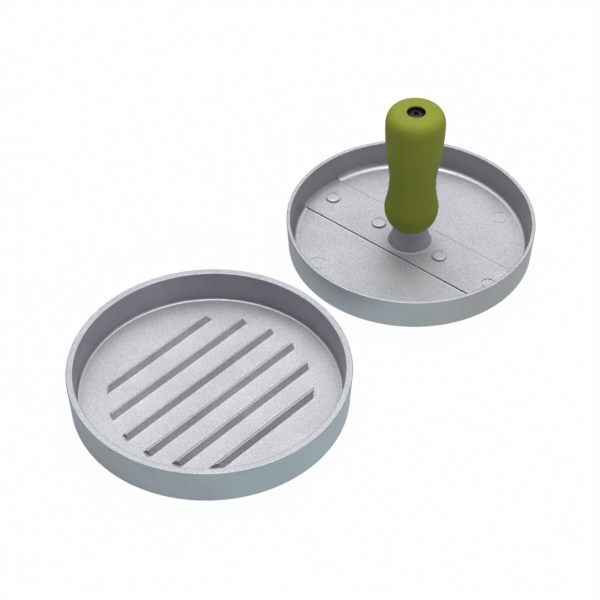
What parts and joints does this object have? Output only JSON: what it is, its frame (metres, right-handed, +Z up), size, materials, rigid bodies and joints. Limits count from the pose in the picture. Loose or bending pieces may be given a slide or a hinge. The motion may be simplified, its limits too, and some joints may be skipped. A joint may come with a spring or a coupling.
{
  "type": "burger press",
  "caption": "Round cast aluminium burger press in two loose halves: a ridged dish mould, and a dished press plate with a waisted soft-grip handle screwed to its central boss.",
  "frame": {"origin": "centre of the mould's flat underside, on the surface that the press stands on", "axes": "+Z up; +X from the middle of the mould to the middle of the press half, and along the mould's ridges"},
  "size_m": [0.2448, 0.12, 0.0785],
  "materials": {
    "cast_aluminium": "satin, fine cast grain",
    "core_plastic": "matte moulded",
    "soft_grip": "matte soft-touch",
    "plated_steel": "zinc plated",
    "black_steel": "black oxide"
  },
  "bodies": {
    "mould_body": {"mould": "cast_aluminium"},
    "lift_carrier": {"washer": "plated_steel"},
    "press_half": {"press_plate": "cast_aluminium", "handle_core": "core_plastic", "grip_skin": "soft_grip", "screw": "black_steel"}
  },
  "joints": [
    {"name": "press_lift", "type": "slide", "parent": "mould_body", "child": "lift_carrier", "axis": [0, 0, 1], "range_m": [0, 0.1]},
    {"name": "press_twist", "type": "hinge", "parent": "lift_carrier", "child": "press_half", "pos_m": [0.1285, 0, 0.015], "axis": [0, 0, 1], "continuous": true}
  ]
}
